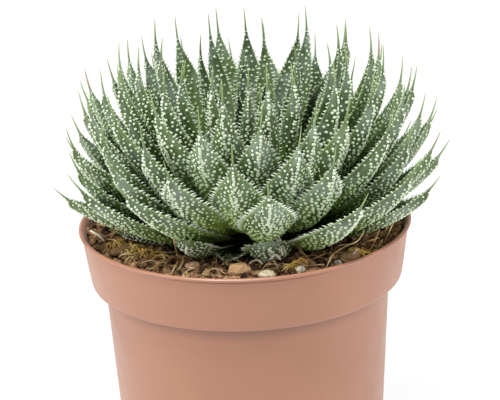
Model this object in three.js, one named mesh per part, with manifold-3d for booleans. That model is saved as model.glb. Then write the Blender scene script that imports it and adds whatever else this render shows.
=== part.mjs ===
// Potted lace aloe (Aristaloe aristata): one dense rosette in a round plastic nursery pot.
// Millimetres, +Z up. The origin is the middle of the pot's flat foot.
// Rosette: every leaf lies on a bowl-shaped surface of its own round the stem. The bowls are
// nested, the oldest leaf on the outermost, so neighbouring leaves lie over each other and
// never cross. The oldest leaves are pieces of their own; the youngest are one body with the stem.
import * as THREE from 'three';
import { mergeVertices } from 'three/addons/utils/BufferGeometryUtils.js';
import Module from 'manifold-3d';

const wasm = await Module();
wasm.setup();

const DEGREE = Math.PI / 180;
const GAP = 0.3; // clearance between pieces that touch

// Pot: outer radii and heights of its foot, body, step, collar and lip
const POT_HEIGHT = 95;
const POT_WALL = 1.3;
const POT_FLOOR = 1.5;
const FOOT_RADIUS = 47.2;
const STEP_RADIUS = 52.1;
const STEP_HEIGHT = 73;
const COLLAR_RADIUS = 56.4;
const COLLAR_HEIGHT = 75;
const COLLAR_TOP_RADIUS = 59;
const LIP_RADIUS = 60;
const LIP_HEIGHT = 1.5;
const POT_SIDES = 48;
const DRAIN_HOLES = 6;
const DRAIN_RADIUS = 3.5;
const DRAIN_CIRCLE = 33;

// Potting mix
const MIX_TOP = 92; // height of its surface at the wall
const MIX_DIP = 4.5; // how much lower it is at the stem
const DISH_RADIUS = 46; // where the dish round the stem begins
const DISH_STEEPNESS = 1.3;
const MIX_SINK = 0.5; // how much lower it is everywhere than at the wall
const MIX_WALL_RADIUS = 56.3;
const MIX_LUMP = 0.6; // height of its lumps
const STEM_HOLE_RADIUS = 10.4;
const STEM_HOLE_FLOOR = 70;

// Rosette
const LEAF_COUNT = 122;
const OUTER_LEAF_COUNT = 46; // the oldest leaves, each a piece of its own
const HALF_GROWN = 84; // index from which a leaf is small enough for fewer steps
const GROWN_STEPS = 16; // steps along a leaf: two steps to a tooth
const HEART_STEPS = 8;
const SMALL_STEPS = 7;
const PICKED_LEAVES = [0, 3, 10, 18, 26, 31, 34]; // withered and picked off, which opens the front
const STUNTED_BY = { 2: 26, 5: 32, 11: 6, 16: 2, 20: 9, 24: 3, 33: 3, 37: 2, 50: 2 }; // leaves that stayed short, and by how much
const GOLDEN_ANGLE = 137.508 * DEGREE;
const FIRST_AZIMUTH = 313 * DEGREE;
const ROSETTE_OFFSET = 3.5; // the plant stands a little to the +X side of the pot's middle
const DOME_CENTRE = 100; // height of the middle of the dome that the leaf tips lie on
const DOME_RADIUS = 76.5;
const HEART_RADIUS = 43; // the same dome over the youngest leaves
const HEART_START = 54 * DEGREE; // rise from which the tips lie lower
const HEART_END = 82 * DEGREE;
const NARROW_FROM = 38 * DEGREE; // rise from which the leaves get narrower
const NARROW_TO = 68 * DEGREE;
const LOWEST_RISE_SINE = 0.13;
const RISE_CROWDING = 0.78; // below 1, the youngest leaves stand closest together
const STEM_RADIUS = 10;
const STEM_TOP_RADIUS = 3;
const STEM_BOTTOM = 70.4;
const OLD_LEAF_ROOT = 88.7; // height of the two leaves that lie on the potting mix
const OLD_LEAF_WIDTH = 10;
const ROOT_LOW = 89.5; // height at which the oldest leaf leaves the stem
const ROOT_HIGH = 102; // and the youngest
const ROOT_CROWDING = 1.15; // above 1, the oldest leaves stand closest together
const LEAF_WIDTH = 18.5;
const HEART_LEAF_WIDTH = 6.2;
const LEAF_THICKNESS = 2.6;
const HEART_LEAF_THICKNESS = 1.8;
const ROOT_THICKNESS = 0.72;
const LEAF_TAPER = 1.3; // the higher, the sooner and finer the blade draws out to its point
const SHORT_LEAF_BLUNTNESS = 0.02; // taken off that for each millimetre that a leaf stayed short
const SHORT_LEAF_NARROWING = 0.05;
const LOW_LEAF_SAG = 0.19; // how far the lowest leaves bow outward, as a share of their length
const LEAF_SAG = 0.28; // the leaves above them
const HEART_LEAF_SAG = 0.17; // and the youngest
const SAG_FROM = 10 * DEGREE; // rise of the leaves between the lowest and those above
const SAG_TO = 34 * DEGREE;
const BOW_AT = 0.63; // place along the leaf where it bows most
const WIDEST_AT = 0.53; // place along the leaf where it is widest
const AWN_FROM = 0.88; // where the blade ends in a bristle
const AWN_HALF_WIDTH = 0.55;
const AWN_TIP_HALF_WIDTH = 0.32;
const TOOTH_LENGTH = 1.5;
const KEEL_TOOTH = 0.5;
const MARGIN_LIFT = 0.7;

// Leaves that stand a little off the spiral: degrees sideways, degrees upward, extra bow
const STRAY = {
  2: [17.7, -2.85, 0.02],
  4: [-5, -1, 0],
  5: [-5.8, -5.15, 0.12],
  7: [6.3, 1.15, -0.028],
  8: [-3, 2, 0],
  12: [-6.5, -1.8, 0],
  13: [1, 2, 0],
  15: [-8.4, 2.2, 0],
  20: [-3, -0.4, 0],
  21: [1, 1.5, 0],
  23: [-7, 0.6, -0.05],
  25: [0, -2, 0],
  28: [4.2, 1.3, 0],
  33: [-0.8, 0.4, 0],
  36: [0, 0.7, -0.045],
  39: [-2, -4, -0.035],
  41: [8, -0.45, 0],
  44: [0.5, -2, -0.05],
  46: [5, 2, 0],
  47: [0, -1, 0],
  49: [6.5, 1.5, 0],
  52: [0.5, -0.5, 0],
  55: [4, -0.5, 0],
  60: [2.5, -1, 0],
  65: [1, 2, 0],
  67: [0, -3.5, 0],
  68: [4, 1, 0],
  70: [-7, -1.5, 0],
  77: [2.5, 5, 0],
  78: [-8, -1, 0],
  81: [2.5, -6, 0],
};

// ---- shared small functions

const clamp01 = (value) => Math.min(1, Math.max(0, value));

function smooth(value) {
  const held = clamp01(value);
  return held * held * (3 - 2 * held);
}

const mix = (from, to, share) => from + (to - from) * share;

// A number from -1 to 1 that belongs to a piece's index and never changes
function scatter(index, kind) {
  const value = Math.sin(index * 12.9898 + kind * 78.233) * 43758.5453;
  return (value - Math.floor(value)) * 2 - 1;
}

function toSolid(geometry) {
  const bare = geometry.clone();
  bare.deleteAttribute('normal');
  bare.deleteAttribute('uv');
  const merged = mergeVertices(bare, 1e-4);
  const corners = Array.from(merged.index.array);
  const kept = [];
  for (let first = 0; first < corners.length; first += 3) {
    const [a, b, c] = corners.slice(first, first + 3);
    if (a !== b && b !== c && c !== a) {
      kept.push(a, b, c);
    }
  }
  return new wasm.Manifold(new wasm.Mesh({
    numProp: 3,
    vertProperties: new Float32Array(merged.attributes.position.array),
    triVerts: new Uint32Array(kept),
  }));
}

function toGeometry(solid) {
  const mesh = solid.getMesh();
  const geometry = new THREE.BufferGeometry();
  geometry.setAttribute('position', new THREE.BufferAttribute(mesh.vertProperties, 3));
  geometry.setIndex(new THREE.BufferAttribute(mesh.triVerts, 1));
  return geometry;
}

// Turns a profile of [radius, height] points round the Z axis
function turned(profile, sides) {
  const points = profile.map(([radius, height]) => new THREE.Vector2(radius, height));
  const geometry = new THREE.LatheGeometry(points, sides);
  geometry.rotateX(Math.PI / 2);
  return geometry;
}

function moveEachPoint(geometry, move) {
  const position = geometry.attributes.position;
  const point = new THREE.Vector3();
  for (let index = 0; index < position.count; index += 1) {
    point.fromBufferAttribute(position, index);
    move(point);
    position.setXYZ(index, point.x, point.y, point.z);
  }
  return geometry;
}

// ---- pot

const outerPot = [
  [FOOT_RADIUS - 1, 0],
  [FOOT_RADIUS, 1],
  [STEP_RADIUS - 0.5, STEP_HEIGHT],
  [STEP_RADIUS - 0.4, STEP_HEIGHT + 0.5],
  [STEP_RADIUS + 0.7, STEP_HEIGHT + 0.4],
  [COLLAR_RADIUS - 0.6, COLLAR_HEIGHT - 0.8],
  [COLLAR_RADIUS, COLLAR_HEIGHT],
  [COLLAR_TOP_RADIUS, POT_HEIGHT - LIP_HEIGHT - 0.5],
  [LIP_RADIUS - 0.3, POT_HEIGHT - LIP_HEIGHT + 0.1],
  [LIP_RADIUS, POT_HEIGHT - LIP_HEIGHT + 0.8],
  [LIP_RADIUS - 0.3, POT_HEIGHT - 0.4],
  [LIP_RADIUS - 0.9, POT_HEIGHT],
];

const innerPot = [
  [COLLAR_TOP_RADIUS - 0.6, POT_HEIGHT - 0.4],
  [COLLAR_TOP_RADIUS - POT_WALL, POT_HEIGHT - LIP_HEIGHT],
  [COLLAR_RADIUS - POT_WALL, COLLAR_HEIGHT + 0.6],
  [STEP_RADIUS - POT_WALL, STEP_HEIGHT + 1.2],
  [FOOT_RADIUS - POT_WALL, POT_FLOOR],
];

function makePot() {
  const profile = [[0, 0], ...outerPot, ...innerPot, [0, POT_FLOOR]];
  let pot = toSolid(turned(profile, POT_SIDES));
  for (let hole = 0; hole < DRAIN_HOLES; hole += 1) {
    const angle = (hole * 360 * DEGREE) / DRAIN_HOLES;
    const drill = new THREE.CylinderGeometry(DRAIN_RADIUS, DRAIN_RADIUS, POT_FLOOR * 4, 12);
    drill.rotateX(Math.PI / 2);
    drill.translate(DRAIN_CIRCLE * Math.cos(angle), DRAIN_CIRCLE * Math.sin(angle), 0);
    pot = pot.subtract(toSolid(drill));
  }
  return toGeometry(pot);
}

// ---- potting mix, with the plain hole that the stem stands in

function mixHeight(x, y) {
  const dip = MIX_DIP * smooth(((DISH_RADIUS - Math.hypot(x, y)) / DISH_RADIUS) * DISH_STEEPNESS) + MIX_SINK;
  const coarse = Math.sin(0.31 * x + 0.8) * Math.cos(0.27 * y - 0.5);
  const fine = Math.sin(0.71 * x - 0.43 * y + 2) * 0.5;
  return MIX_TOP - dip + MIX_LUMP * (coarse + fine);
}

function makeMixBody(lift) {
  const rings = [53, 48, 42, 35, 27, 19, 12];
  const profile = [
    [0, POT_FLOOR + GAP],
    [FOOT_RADIUS - POT_WALL - GAP, POT_FLOOR + GAP],
    [STEP_RADIUS - POT_WALL - GAP, STEP_HEIGHT + 1.3],
    [COLLAR_RADIUS - POT_WALL - GAP - 0.1, COLLAR_HEIGHT + 1],
    [MIX_WALL_RADIUS, MIX_TOP],
    ...rings.map((radius) => [radius, MIX_TOP]),
    [0, MIX_TOP],
  ];
  const body = turned(profile, POT_SIDES);
  moveEachPoint(body, (point) => {
    if (point.z > MIX_TOP - 0.01) {
      point.z = mixHeight(point.x, point.y) + lift;
    }
  });
  return toSolid(body);
}

function makePottingMix() {
  const depth = POT_HEIGHT - STEM_HOLE_FLOOR;
  const hole = new THREE.CylinderGeometry(STEM_HOLE_RADIUS, STEM_HOLE_RADIUS, depth, 20);
  hole.rotateX(Math.PI / 2);
  hole.translate(ROSETTE_OFFSET, 0, STEM_HOLE_FLOOR + depth / 2);
  return toGeometry(makeMixBody(0).subtract(toSolid(hole)));
}

// ---- one leaf

const rootHeight = (age) => mix(ROOT_LOW, ROOT_HIGH, Math.pow(age, ROOT_CROWDING));

// Where a leaf stands on the stem, where its tip is, and how wide and thick it is
function planLeaf(index) {
  const age = (index + 0.5) / LEAF_COUNT; // 0 oldest, 1 youngest
  const [sideways, upward, extraBow] = STRAY[index] ?? [4 * scatter(index, 2), 0, 0];
  const riseSine = mix(LOWEST_RISE_SINE, 1, Math.pow(age, RISE_CROWDING));
  const rise = Math.asin(riseSine) + upward * DEGREE;
  const youth = smooth((rise - HEART_START) / (HEART_END - HEART_START));
  const narrowing = smooth((rise - NARROW_FROM) / (NARROW_TO - NARROW_FROM));
  const sag = mix(LOW_LEAF_SAG, LEAF_SAG, smooth((rise - SAG_FROM) / (SAG_TO - SAG_FROM)));
  const shortness = STUNTED_BY[index] ?? 0;
  const reach = mix(DOME_RADIUS, HEART_RADIUS, youth) + 1.5 * scatter(index, 1) - shortness;
  const fused = index >= OUTER_LEAF_COUNT;
  const stemShare = clamp01((index - OUTER_LEAF_COUNT) / (LEAF_COUNT - OUTER_LEAF_COUNT));
  const stemRadius = mix(STEM_RADIUS, STEM_TOP_RADIUS, stemShare);
  return {
    azimuth: FIRST_AZIMUTH + index * GOLDEN_ANGLE,
    swing: sideways * DEGREE,
    root: new THREE.Vector2(fused ? stemRadius - 1.6 : STEM_RADIUS + GAP, rootHeight(age)),
    tip: new THREE.Vector2(reach * Math.cos(rise), DOME_CENTRE + reach * Math.sin(rise)),
    width: mix(LEAF_WIDTH, HEART_LEAF_WIDTH, narrowing) - SHORT_LEAF_NARROWING * shortness,
    taper: LEAF_TAPER - SHORT_LEAF_BLUNTNESS * shortness,
    thickness: mix(LEAF_THICKNESS, HEART_LEAF_THICKNESS, youth),
    rootThickness: ROOT_THICKNESS,
    sag: mix(sag, HEART_LEAF_SAG, youth) + extraBow,
  };
}

// The two oldest leaves, small and dark, lie flat on the potting mix under the others
function planOldLeaf(number) {
  const [azimuth, sideways, reach, tipHeight] = number === 1 ? [205, -14, 53, 96.5] : [250, 6, 41, 93.2];
  return {
    azimuth: azimuth * DEGREE,
    swing: sideways * DEGREE,
    root: new THREE.Vector2(STEM_RADIUS + GAP, OLD_LEAF_ROOT),
    tip: new THREE.Vector2(reach, tipHeight),
    width: OLD_LEAF_WIDTH,
    taper: LEAF_TAPER,
    thickness: 1.5,
    rootThickness: 0.7,
    sag: 0.02,
  };
}

// Half the leaf's width at a place along it: a blade that ends in a bristle
function halfWidthAt(plan, along) {
  if (along > AWN_FROM) {
    return mix(AWN_HALF_WIDTH, AWN_TIP_HALF_WIDTH, (along - AWN_FROM) / (1 - AWN_FROM));
  }
  const flare = mix(0.38, 1, smooth(along / WIDEST_AT));
  const beyond = clamp01((along - WIDEST_AT) / (AWN_FROM - WIDEST_AT));
  const share = along < WIDEST_AT ? flare : Math.pow(1 - beyond, plan.taper) * (1 + beyond);
  return Math.max(AWN_HALF_WIDTH, 0.5 * plan.width * share);
}

// The leaf's midline in the upright plane through the stem: [radius, height] and its slope
function midline(plan, along) {
  const chord = plan.tip.clone().sub(plan.root);
  const bow = new THREE.Vector2(chord.y, -chord.x).multiplyScalar(plan.sag);
  const control = plan.root.clone().addScaledVector(chord, BOW_AT).add(bow);
  const curve = new THREE.QuadraticBezierCurve(plan.root, control, plan.tip);
  return { point: curve.getPoint(along), slope: curve.getTangent(along) };
}

// A point of the leaf: along it, sideways from the midline, and up from the bowl it lies on
function leafPoint(plan, along, sideways, up) {
  const { point, slope } = midline(plan, clamp01(along));
  const radius = point.x - slope.y * up;
  const height = point.y + slope.x * up;
  const angle = plan.azimuth + plan.swing * along * along + sideways / Math.max(point.x, 7);
  return new THREE.Vector3(radius * Math.cos(angle), radius * Math.sin(angle), height);
}

// A blade with toothed edges and keel; the last of its steps is the bristle
function makeLeaf(plan, steps) {
  const geometry = new THREE.CylinderGeometry(1, 1, 1, 4, steps);
  moveEachPoint(geometry, (point) => {
    const step = Math.round((point.y + 0.5) * steps);
    const along = step === steps ? 1 : (AWN_FROM * step) / (steps - 1);
    const toothed = step % 2 === 1 && step < steps - 1;
    const halfWidth = halfWidthAt(plan, along);
    const swell = mix(plan.rootThickness, plan.thickness, smooth(along / 0.36));
    const thickness = Math.max(0.65, swell * Math.pow(clamp01(1.1 - along), 0.6));
    const onKeel = point.z < -0.5;
    const atMargin = Math.abs(point.x) > 0.5;
    let outward = halfWidth;
    let up = 0.12 * thickness * Math.sign(point.z);
    let lead = 0;
    if (atMargin) {
      up = MARGIN_LIFT * smooth(along / 0.2) * ((2 * halfWidth) / plan.width);
    }
    if (atMargin && toothed) {
      outward += TOOTH_LENGTH;
      lead = 0.4 / steps;
    }
    if (onKeel) {
      up = -0.85 * thickness - (toothed && along > 0.45 ? KEEL_TOOTH : 0);
    }
    point.copy(leafPoint(plan, along + lead, -Math.round(point.x) * outward, up));
  });
  return geometry;
}

// ---- rosette

function makeHeart() {
  const stem = turned([
    [0, STEM_BOTTOM],
    [STEM_RADIUS, STEM_BOTTOM],
    [STEM_RADIUS, rootHeight(OUTER_LEAF_COUNT / LEAF_COUNT)],
    [STEM_TOP_RADIUS, ROOT_HIGH],
    [0, ROOT_HIGH + 2],
  ], 18);
  let heart = toSolid(stem);
  for (let index = OUTER_LEAF_COUNT; index < LEAF_COUNT; index += 1) {
    const steps = index < HALF_GROWN ? HEART_STEPS : SMALL_STEPS;
    heart = heart.add(toSolid(makeLeaf(planLeaf(index), steps)));
  }
  return toGeometry(heart);
}

// ---- loose pieces on the potting mix

function makeLump(radii, angle, distance, turn) {
  const geometry = new THREE.IcosahedronGeometry(1, 1);
  const x = distance * Math.cos(angle);
  const y = distance * Math.sin(angle);
  moveEachPoint(geometry, (point) => {
    const corner = Math.round(point.x * 31 + point.y * 17 + point.z * 7);
    point.multiplyScalar(1 + 0.14 * scatter(corner, distance));
    point.set(point.x * radii[0], point.y * radii[1], point.z * radii[2]);
    point.applyAxisAngle(new THREE.Vector3(0, 0, 1), turn);
    point.add(new THREE.Vector3(x, y, mixHeight(x, y) + 0.45 * radii[2]));
  });
  return toGeometry(toSolid(geometry).subtract(makeMixBody(GAP)));
}

const PUMICE = { color: '#c9bda8', roughness: 0.9 };
const BARK = { color: '#6b4630', roughness: 0.85 };

// [name, finish, half sizes, place round the pot, distance from its middle, turn], degrees
const LOOSE_PIECES = [
  ['pumice_stone_1', PUMICE, [3, 2, 1.6], -82, 50, 10],
  ['pumice_stone_2', PUMICE, [1.7, 1.4, 1.3], -68, 49.5, 40],
  ['pumice_stone_3', PUMICE, [1.5, 1.2, 1.2], -52, 51, 0],
  ['pumice_stone_4', PUMICE, [3.2, 2.5, 2], 118, 50, 25],
  ['bark_chip_1', BARK, [4, 2.8, 2.2], -93, 45.5, -8],
  ['bark_chip_2', BARK, [2.8, 1.9, 1.7], -116, 42.5, 20],
  ['bark_chip_3', BARK, [6, 2.8, 1.6], -153, 47, 20],
  ['bark_chip_4', BARK, [3.9, 2.6, 1.8], -45, 51, 40],
];

// ---- the whole plant in its pot

const plant = new THREE.Group();
const rosette = new THREE.Group();
rosette.position.x = ROSETTE_OFFSET;
plant.add(rosette);

function addPiece(group, name, geometry, finish) {
  const material = new THREE.MeshStandardMaterial({ ...finish, metalness: 0 });
  const piece = new THREE.Mesh(geometry, material);
  piece.name = name;
  group.add(piece);
}

const POT_PLASTIC = { color: '#c98f76', roughness: 0.6 };
const PEAT = { color: '#33241b', roughness: 0.95 };
const YOUNG_GREEN = { color: '#5f8055', roughness: 0.55 };
const GROWN_GREEN = { color: '#4f7350', roughness: 0.55 };
const OLD_GREEN = { color: '#33503a', roughness: 0.65 };

addPiece(plant, 'pot', makePot(), POT_PLASTIC);
addPiece(plant, 'potting_mix', makePottingMix(), PEAT);
for (const [name, finish, radii, place, distance, turn] of LOOSE_PIECES) {
  addPiece(plant, name, makeLump(radii, place * DEGREE, distance, turn * DEGREE), finish);
}

addPiece(rosette, 'rosette_heart', makeHeart(), YOUNG_GREEN);
for (let index = 0; index < OUTER_LEAF_COUNT; index += 1) {
  const name = `leaf_${String(index + 1).padStart(2, '0')}`;
  if (!PICKED_LEAVES.includes(index)) {
    addPiece(rosette, name, makeLeaf(planLeaf(index), GROWN_STEPS), GROWN_GREEN);
  }
}
for (const number of [1, 2]) {
  addPiece(rosette, `old_leaf_${number}`, makeLeaf(planOldLeaf(number), GROWN_STEPS), OLD_GREEN);
}

export default plant;
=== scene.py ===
import math
import random
from types import SimpleNamespace

import bmesh
import bpy
import numpy as np
from mathutils import Matrix, Vector, noise


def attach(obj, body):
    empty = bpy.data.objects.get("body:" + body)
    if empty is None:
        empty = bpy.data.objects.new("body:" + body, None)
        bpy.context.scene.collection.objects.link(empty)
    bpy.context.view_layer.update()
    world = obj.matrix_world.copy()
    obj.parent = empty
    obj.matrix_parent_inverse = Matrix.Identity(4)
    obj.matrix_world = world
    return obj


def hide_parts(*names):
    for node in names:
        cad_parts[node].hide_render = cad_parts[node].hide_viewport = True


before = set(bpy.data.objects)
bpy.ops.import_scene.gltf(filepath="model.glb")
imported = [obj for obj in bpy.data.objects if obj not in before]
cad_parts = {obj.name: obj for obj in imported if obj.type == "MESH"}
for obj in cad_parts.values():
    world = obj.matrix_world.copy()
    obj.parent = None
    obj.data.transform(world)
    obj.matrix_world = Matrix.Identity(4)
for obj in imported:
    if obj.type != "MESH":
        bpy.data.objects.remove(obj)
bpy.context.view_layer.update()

# ---- Camera
# A long lens that looks at the plant from in front and a little above. It is rolled by a hair, and
# its frame cuts off the foot of the pot.

MM = 0.001
CAMERA_PLACE = Vector((2.17, -754.2, 368.8)) * MM
CAMERA_DIP = math.radians(19.49)
CAMERA_ROLL = math.radians(-2.37)
CAMERA_LENS = 160.06

ahead = Vector((0, math.cos(CAMERA_DIP), -math.sin(CAMERA_DIP)))
level_right = Vector((1, 0, 0))
level_up = level_right.cross(ahead)
rolled_right = level_right * math.cos(CAMERA_ROLL) + level_up * math.sin(CAMERA_ROLL)
rolled_up = level_up * math.cos(CAMERA_ROLL) - level_right * math.sin(CAMERA_ROLL)
camera_data = bpy.data.cameras.new("camera")
camera_data.sensor_width = 36
camera_data.lens = CAMERA_LENS
camera_data.clip_start = 0.01
camera = bpy.data.objects.new("camera", camera_data)
bpy.context.scene.collection.objects.link(camera)
turn = Matrix((rolled_right, rolled_up, -ahead)).transposed().to_4x4()
camera.matrix_world = Matrix.Translation(CAMERA_PLACE) @ turn
bpy.context.scene.camera = camera

# ---- Studio
# White surroundings, two tall soft boxes at the sides, a small one overhead, and a white paper
# floor that glows, so that the shadows on it stay pale.

SURROUND_LIGHT = 0.40
FLOOR_SIZE = 12.0
FLOOR_GLOW = 0.86
# name: place, width and height in metres, power in watts
SOFT_BOXES = {
    "soft_box_left": ((-0.88, -0.3, 0.36), 0.5, 0.8, 6.2),
    "soft_box_right": ((0.92, -0.28, 0.34), 0.5, 0.8, 5.7),
    "soft_box_overhead": ((-0.15, -0.3, 1.0), 0.35, 0.35, 9.2),
}
AIM = Vector((0, 0, 0.1))

surround = bpy.data.worlds.new("surround")
surround.use_nodes = True
surround.node_tree.nodes["Background"].inputs["Color"].default_value = (1, 1, 1, 1)
surround.node_tree.nodes["Background"].inputs["Strength"].default_value = SURROUND_LIGHT
bpy.context.scene.world = surround
bpy.context.scene.view_settings.view_transform = "Standard"

for name, (place, width, height, power) in SOFT_BOXES.items():
    light_data = bpy.data.lights.new(name, "AREA")
    light_data.shape = "RECTANGLE"
    light_data.size = width
    light_data.size_y = height
    light_data.energy = power
    light = bpy.data.objects.new(name, light_data)
    light.location = place
    light.rotation_euler = (AIM - Vector(place)).to_track_quat("-Z", "Y").to_euler()
    bpy.context.scene.collection.objects.link(light)


def add_object(name, mesh):
    piece = bpy.data.objects.new(name, mesh)
    bpy.context.scene.collection.objects.link(piece)
    return piece


def new_material(name, color, roughness):
    """A material with its Principled shader, and the node tree that the rest is added to."""
    material = bpy.data.materials.new(name)
    material.use_nodes = True
    shader = material.node_tree.nodes["Principled BSDF"]
    shader.inputs["Base Color"].default_value = (*color, 1)
    shader.inputs["Roughness"].default_value = roughness
    return material, material.node_tree, shader


floor_mesh = bpy.data.meshes.new("studio_floor")
half = FLOOR_SIZE / 2
corners = [(-half, -half, 0), (half, -half, 0), (half, half, 0), (-half, half, 0)]
floor_mesh.from_pydata(corners, [], [(0, 1, 2, 3)])
floor_paper, floor_nodes, floor_shader = new_material("floor_paper", (0.22, 0.22, 0.22), 0.9)
floor_shader.inputs["Specular IOR Level"].default_value = 0.1
floor_shader.inputs["Emission Color"].default_value = (1, 1, 1, 1)
floor_shader.inputs["Emission Strength"].default_value = FLOOR_GLOW
floor_mesh.materials.append(floor_paper)
add_object("studio_floor", floor_mesh)

# ---- Pot
# A thin round nursery pot of matte terracotta-coloured plastic, injection moulded in one piece:
# a tapered body, a wider collar with a rounded shoulder, a small lip and drain holes.

POT_HEIGHT = 95
POT_WALL = 1.3
POT_FLOOR = 1.5
FOOT_RADIUS = 47.2
STEP_RADIUS = 52.1
STEP_HEIGHT = 73
COLLAR_RADIUS = 56.4
COLLAR_HEIGHT = 75
COLLAR_TOP_RADIUS = 59
LIP_RADIUS = 60
LIP_HEIGHT = 1.5
ROUNDING = 2.0
SHELTER_DEPTH = 5.0  # how far below the step painted shade darkens the plastic, and how dark it gets
SHELTER_SHADE = 0.62
POT_SEGMENTS = 192
DRAIN_HOLES = 6
DRAIN_RADIUS = 3.5
DRAIN_CIRCLE = 33
POT_COLOR = (0.360, 0.147, 0.077)


def rounded(profile, rounding):
    """The profile with its corners rounded. A point is its radius, its height and its share of the
    rounding, which is none where it isn't given."""
    points = [Vector(p[:2]) for p in profile]
    shares = [p[2] if len(p) > 2 else 0 for p in profile]
    out = []
    for i, point in enumerate(points):
        reach = rounding * shares[i]
        if reach == 0 or i in (0, len(points) - 1):
            out.append(point)
            continue
        before = points[i - 1] - point
        after = points[i + 1] - point
        start = point + before.normalized() * min(reach, before.length * 0.48)
        end = point + after.normalized() * min(reach, after.length * 0.48)
        for step in range(5):
            t = step / 4
            out.append(start * (1 - t) ** 2 + point * 2 * t * (1 - t) + end * t * t)
    return out


def lathe(profile, segments):
    """A closed body: the profile, from axis to axis, turned round Z. Millimetres in, metres out."""
    body = bmesh.new()
    rings = []
    for radius, height in profile:
        if radius < 1e-6:
            rings.append([body.verts.new((0, 0, height * MM))])
            continue
        ring = []
        for k in range(segments):
            angle = 2 * math.pi * k / segments
            place = (radius * math.cos(angle), radius * math.sin(angle), height)
            ring.append(body.verts.new(Vector(place) * MM))
        rings.append(ring)
    for low, high in zip(rings, rings[1:]):
        for k in range(segments):
            j = (k + 1) % segments
            corners = [low[k % len(low)], low[j % len(low)], high[j % len(high)], high[k % len(high)]]
            unique = list(dict.fromkeys(corners))
            if len(unique) > 2:
                body.faces.new(unique)
    return body


pot_profile = [
    (0, 0),
    (FOOT_RADIUS - 1, 0, 0.5),
    (FOOT_RADIUS, 1, 0.5),
    (STEP_RADIUS - 0.5, STEP_HEIGHT, 0.1),
    (STEP_RADIUS - 0.4, STEP_HEIGHT + 0.5, 0.1),
    (STEP_RADIUS + 0.7, STEP_HEIGHT + 0.3, 0.25),
    (COLLAR_RADIUS - 0.6, COLLAR_HEIGHT - 0.8, 0.5),
    (COLLAR_RADIUS, COLLAR_HEIGHT, 0.6),
    (COLLAR_TOP_RADIUS, POT_HEIGHT - LIP_HEIGHT - 0.5, 0.15),
    (COLLAR_TOP_RADIUS - 0.3, POT_HEIGHT - LIP_HEIGHT - 0.1, 0.1),
    (LIP_RADIUS - 0.3, POT_HEIGHT - LIP_HEIGHT + 0.1, 0.3),
    (LIP_RADIUS, POT_HEIGHT - LIP_HEIGHT + 0.8, 0.5),
    (LIP_RADIUS - 0.3, POT_HEIGHT - 0.4, 0.5),
    (LIP_RADIUS - 0.9, POT_HEIGHT, 0.5),
    (COLLAR_TOP_RADIUS - 0.6, POT_HEIGHT - 0.4, 0.4),
    (COLLAR_TOP_RADIUS - POT_WALL, POT_HEIGHT - LIP_HEIGHT, 0.5),
    (COLLAR_RADIUS - POT_WALL, COLLAR_HEIGHT + 0.6, 1.0),
    (STEP_RADIUS - POT_WALL, STEP_HEIGHT + 1.2, 1.0),
    (FOOT_RADIUS - POT_WALL, POT_FLOOR, 0.5),
    (0, POT_FLOOR),
]
pot_body = lathe(rounded(pot_profile, ROUNDING), POT_SEGMENTS)
bmesh.ops.recalc_face_normals(pot_body, faces=pot_body.faces)
pot_mesh = bpy.data.meshes.new("nursery_pot")
pot_body.to_mesh(pot_mesh)
pot_body.free()
pot = add_object("nursery_pot", pot_mesh)

drill_mesh = bpy.data.meshes.new("drain_drill")
drills = bmesh.new()
for hole in range(DRAIN_HOLES):
    angle = 2 * math.pi * hole / DRAIN_HOLES
    place = Vector((DRAIN_CIRCLE * math.cos(angle), DRAIN_CIRCLE * math.sin(angle), 0)) * MM
    bmesh.ops.create_cone(
        drills,
        cap_ends=True,
        segments=32,
        radius1=DRAIN_RADIUS * MM,
        radius2=DRAIN_RADIUS * MM,
        depth=POT_FLOOR * 4 * MM,
        matrix=Matrix.Translation(place),
    )
drills.to_mesh(drill_mesh)
drills.free()
drill = add_object("drain_drill", drill_mesh)


def plain_mesh(piece):
    """A mesh of the piece as its modifiers leave it."""
    bpy.context.view_layer.update()
    graph = bpy.context.evaluated_depsgraph_get()
    return bpy.data.meshes.new_from_object(piece.evaluated_get(graph))


def finished(piece):
    """The piece with its modifiers applied."""
    mesh = plain_mesh(piece)
    old = piece.data
    piece.modifiers.clear()
    piece.data = mesh
    mesh.name = piece.name
    bpy.data.meshes.remove(old)
    return piece


cut = pot.modifiers.new("drain_holes", "BOOLEAN")
cut.operation = "DIFFERENCE"
cut.solver = "EXACT"
cut.object = drill
finished(pot)
bpy.data.objects.remove(drill)
pot.data.shade_smooth()
pot.data.set_sharp_from_angle(angle=math.radians(40))


def place_node(tree, kind, inputs=None, **settings):
    """A node with its settings, and its inputs set to values or linked to sockets."""
    node = tree.nodes.new(kind)
    for key, value in settings.items():
        setattr(node, key, value)
    for key, value in (inputs or {}).items():
        socket = node.inputs[key]
        if isinstance(value, bpy.types.NodeSocket):
            tree.links.new(value, socket)
        else:
            socket.default_value = value
    return node


def times(tree, first, second):
    """The product of two numbers, each a socket or a plain number."""
    return place_node(tree, "ShaderNodeMath", {0: first, 1: second}, operation="MULTIPLY").outputs[0]


def object_noise(nodes, scale, detail=3.0, stretch=(1, 1, 1)):
    """A noise texture on Object coordinates, with features of about 1/scale metres."""
    place = place_node(nodes, "ShaderNodeTexCoord").outputs["Object"]
    mapping = place_node(nodes, "ShaderNodeMapping", {"Vector": place, "Scale": stretch})
    wants = {"Vector": mapping.outputs["Vector"], "Scale": scale, "Detail": detail}
    return place_node(nodes, "ShaderNodeTexNoise", wants).outputs["Fac"]


def ramp(nodes, value, stops):
    """A colour ramp over a value. Stops are (position, colour)."""
    node = place_node(nodes, "ShaderNodeValToRGB", {"Fac": value})
    elements = node.color_ramp.elements
    elements[0].position, elements[0].color = stops[0][0], (*stops[0][1], 1)
    elements[1].position, elements[1].color = stops[-1][0], (*stops[-1][1], 1)
    for position, color in stops[1:-1]:
        elements.new(position).color = (*color, 1)
    return node.outputs["Color"]


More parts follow.
